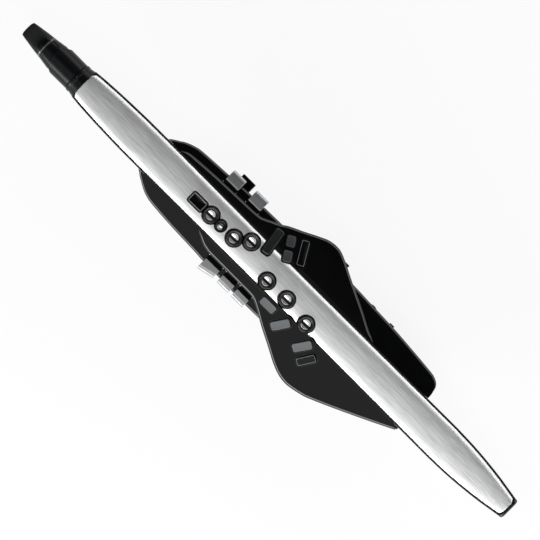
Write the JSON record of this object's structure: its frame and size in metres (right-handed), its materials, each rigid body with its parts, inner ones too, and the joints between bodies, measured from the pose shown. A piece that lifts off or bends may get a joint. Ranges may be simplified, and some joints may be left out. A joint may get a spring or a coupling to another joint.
{
  "type": "digital wind controller",
  "caption": "Straight electronic wind instrument with a mouthpiece, brushed front panel, touch keys, two sloping key decks, palm and side keys, and a battery bay.",
  "frame": {"origin": "middle of the length and width, on the surface that the instrument lies on with its keys up", "axes": "+X from the mouthpiece to the bell end, +Y to the player's left, +Z out of the front panel"},
  "size_m": [0.7244, 0.1427, 0.081],
  "materials": {
    "gloss_black": "gloss",
    "satin_black": "satin",
    "brushed_panel": "brushed",
    "mirror_dish": "mirror",
    "key_grey": "satin",
    "key_dark": "satin",
    "silver_key": "satin",
    "board_green": "matt",
    "cell_can": "satin",
    "display_lens": "gloss",
    "grip_rubber": "matt"
  },
  "bodies": {
    "instrument": {"neck_sleeve": "satin_black", "neck_collar": "satin_black", "upper_body": "satin_black", "front_panel": "brushed_panel", "end_cap": "satin_black", "back_shell": "satin_black", "left_key_deck": "gloss_black", "right_key_deck": "gloss_black", "strap_loop": "satin_black", "thumb_rest": "grip_rubber", "display_window": "display_lens", "jack_panel": "satin_black", "battery_1": "cell_can", "battery_2": "cell_can", "battery_3": "cell_can", "battery_4": "cell_can", "battery_5": "cell_can", "battery_6": "cell_can", "circuit_board": "board_green", "breath_sensor": "board_green"},
    "mouthpiece": {"mouthpiece": "satin_black", "bite_reed": "grip_rubber"},
    "b_key": {"b_key_cup": "satin_black", "b_key_dish": "mirror_dish"},
    "bis_key": {"bis_key_cup": "satin_black", "bis_key_dish": "mirror_dish"},
    "a_key": {"a_key_cup": "satin_black", "a_key_dish": "mirror_dish"},
    "g_key": {"g_key_cup": "satin_black", "g_key_dish": "mirror_dish"},
    "f_key": {"f_key_cup": "satin_black", "f_key_dish": "mirror_dish"},
    "e_key": {"e_key_cup": "satin_black", "e_key_dish": "mirror_dish"},
    "d_key": {"d_key_cup": "satin_black", "d_key_dish": "mirror_dish"},
    "front_f_key": {"front_f_key": "gloss_black"},
    "g_sharp_key": {"g_sharp_key": "gloss_black"},
    "c_sharp_key": {"c_sharp_key": "key_dark"},
    "low_b_key": {"low_b_key": "key_dark"},
    "low_b_flat_key": {"low_b_flat_key": "gloss_black"},
    "f_sharp_key": {"f_sharp_key": "key_grey"},
    "e_flat_key": {"e_flat_key": "key_grey"},
    "low_c_key": {"low_c_key": "key_grey"},
    "low_a_key": {"low_a_key": "gloss_black"},
    "palm_d_key": {"palm_d_key": "silver_key"},
    "palm_e_flat_key": {"palm_e_flat_key": "silver_key"},
    "palm_f_key": {"palm_f_key": "gloss_black"},
    "side_b_flat_key": {"side_b_flat_key": "silver_key"},
    "side_c_key": {"side_c_key": "silver_key"},
    "side_e_key": {"side_e_key": "silver_key"},
    "low_octave_key": {"low_octave_key": "satin_black"},
    "high_octave_key": {"high_octave_key": "satin_black"},
    "menu_button_1": {"menu_button_1": "grip_rubber"},
    "menu_button_2": {"menu_button_2": "grip_rubber"},
    "thumb_hook": {"thumb_hook": "satin_black"},
    "volume_knob": {"volume_knob": "satin_black"},
    "power_switch": {"power_switch": "satin_black"},
    "battery_cover": {"battery_cover": "satin_black"}
  },
  "joints": [
    {"name": "mouthpiece_slide", "type": "slide", "parent": "instrument", "child": "mouthpiece", "axis": [-1, 0, 0], "range_m": [0, 0.025]},
    {"name": "battery_cover_off", "type": "slide", "parent": "instrument", "child": "battery_cover", "axis": [0, 0, -1], "range_m": [0, 0.02]},
    {"name": "power_slide", "type": "slide", "parent": "instrument", "child": "power_switch", "axis": [1, 0, 0], "range_m": [-0.002, 0.002]},
    {"name": "volume_turn", "type": "hinge", "parent": "instrument", "child": "volume_knob", "pos_m": [0.10979, 0.04303, 0.0473], "axis": [0, 0, 1], "range_deg": [0, 270]},
    {"name": "thumb_hook_slide", "type": "slide", "parent": "instrument", "child": "thumb_hook", "axis": [1, 0, 0], "range_m": [-0.008, 0.008]},
    {"name": "b_press", "type": "slide", "parent": "instrument", "child": "b_key", "axis": [0, 0, -1], "range_m": [0, 0.002], "stiffness_N_per_m": 300, "springref_m": -0.001},
    {"name": "bis_press", "type": "slide", "parent": "instrument", "child": "bis_key", "axis": [0, 0, -1], "range_m": [0, 0.002], "stiffness_N_per_m": 300, "springref_m": -0.001},
    {"name": "a_press", "type": "slide", "parent": "instrument", "child": "a_key", "axis": [0, 0, -1], "range_m": [0, 0.002], "stiffness_N_per_m": 300, "springref_m": -0.001},
    {"name": "g_press", "type": "slide", "parent": "instrument", "child": "g_key", "axis": [0, 0, -1], "range_m": [0, 0.002], "stiffness_N_per_m": 300, "springref_m": -0.001},
    {"name": "f_press", "type": "slide", "parent": "instrument", "child": "f_key", "axis": [0, 0, -1], "range_m": [0, 0.002], "stiffness_N_per_m": 300, "springref_m": -0.001},
    {"name": "e_press", "type": "slide", "parent": "instrument", "child": "e_key", "axis": [0, 0, -1], "range_m": [0, 0.002], "stiffness_N_per_m": 300, "springref_m": -0.001},
    {"name": "d_press", "type": "slide", "parent": "instrument", "child": "d_key", "axis": [0, 0, -1], "range_m": [0, 0.002], "stiffness_N_per_m": 300, "springref_m": -0.001},
    {"name": "front_f_press", "type": "slide", "parent": "instrument", "child": "front_f_key", "axis": [0, 0, -1], "range_m": [0, 0.002], "stiffness_N_per_m": 300, "springref_m": -0.001},
    {"name": "g_sharp_press", "type": "slide", "parent": "instrument", "child": "g_sharp_key", "axis": [0, -0.342, -0.9397], "range_m": [0, 0.002], "stiffness_N_per_m": 300, "springref_m": -0.001},
    {"name": "c_sharp_press", "type": "slide", "parent": "instrument", "child": "c_sharp_key", "axis": [0, -0.342, -0.9397], "range_m": [0, 0.002], "stiffness_N_per_m": 300, "springref_m": -0.001},
    {"name": "low_b_press", "type": "slide", "parent": "instrument", "child": "low_b_key", "axis": [0, -0.342, -0.9397], "range_m": [0, 0.002], "stiffness_N_per_m": 300, "springref_m": -0.001},
    {"name": "low_b_flat_press", "type": "slide", "parent": "instrument", "child": "low_b_flat_key", "axis": [0, -0.342, -0.9397], "range_m": [0, 0.002], "stiffness_N_per_m": 300, "springref_m": -0.001},
    {"name": "f_sharp_press", "type": "slide", "parent": "instrument", "child": "f_sharp_key", "axis": [0, 0.342, -0.9397], "range_m": [0, 0.002], "stiffness_N_per_m": 300, "springref_m": -0.001},
    {"name": "e_flat_press", "type": "slide", "parent": "instrument", "child": "e_flat_key", "axis": [0, 0.342, -0.9397], "range_m": [0, 0.002], "stiffness_N_per_m": 300, "springref_m": -0.001},
    {"name": "low_c_press", "type": "slide", "parent": "instrument", "child": "low_c_key", "axis": [0, 0.342, -0.9397], "range_m": [0, 0.002], "stiffness_N_per_m": 300, "springref_m": -0.001},
    {"name": "low_a_press", "type": "slide", "parent": "instrument", "child": "low_a_key", "axis": [0, 0.342, -0.9397], "range_m": [0, 0.002], "stiffness_N_per_m": 300, "springref_m": -0.001},
    {"name": "palm_d_pivot", "type": "hinge", "parent": "instrument", "child": "palm_d_key", "pos_m": [-0.08897, 0.03149, 0.056], "axis": [-1, 0, 0], "range_deg": [0, 6], "stiffness_Nm_per_rad": 0.08, "springref_deg": -5.73},
    {"name": "palm_e_flat_pivot", "type": "hinge", "parent": "instrument", "child": "palm_e_flat_key", "pos_m": [-0.05671, 0.0325, 0.056], "axis": [-1, 0, 0], "range_deg": [0, 6], "stiffness_Nm_per_rad": 0.08, "springref_deg": -5.73},
    {"name": "palm_f_press", "type": "slide", "parent": "instrument", "child": "palm_f_key", "axis": [0, -1, 0], "range_m": [0, 0.002], "stiffness_N_per_m": 300, "springref_m": -0.001},
    {"name": "side_b_flat_pivot", "type": "hinge", "parent": "instrument", "child": "side_b_flat_key", "pos_m": [-0.04324, -0.03298, 0.056], "axis": [1, 0, 0], "range_deg": [0, 6], "stiffness_Nm_per_rad": 0.08, "springref_deg": -5.73},
    {"name": "side_c_pivot", "type": "hinge", "parent": "instrument", "child": "side_c_key", "pos_m": [-0.0192, -0.03298, 0.056], "axis": [1, 0, 0], "range_deg": [0, 6], "stiffness_Nm_per_rad": 0.08, "springref_deg": -5.73},
    {"name": "side_e_pivot", "type": "hinge", "parent": "instrument", "child": "side_e_key", "pos_m": [0.00206, -0.03351, 0.056], "axis": [1, 0, 0], "range_deg": [0, 6], "stiffness_Nm_per_rad": 0.08, "springref_deg": -5.73},
    {"name": "low_octave_press", "type": "slide", "parent": "instrument", "child": "low_octave_key", "axis": [0, 0, 1], "range_m": [0, 0.002], "stiffness_N_per_m": 300, "springref_m": -0.001},
    {"name": "high_octave_press", "type": "slide", "parent": "instrument", "child": "high_octave_key", "axis": [0, 0, 1], "range_m": [0, 0.002], "stiffness_N_per_m": 300, "springref_m": -0.001},
    {"name": "menu_1_press", "type": "slide", "parent": "instrument", "child": "menu_button_1", "axis": [0, 0, 1], "range_m": [0, 0.0008], "stiffness_N_per_m": 300, "springref_m": -0.001},
    {"name": "menu_2_press", "type": "slide", "parent": "instrument", "child": "menu_button_2", "axis": [0, 0, 1], "range_m": [0, 0.0008], "stiffness_N_per_m": 300, "springref_m": -0.001}
  ]
}
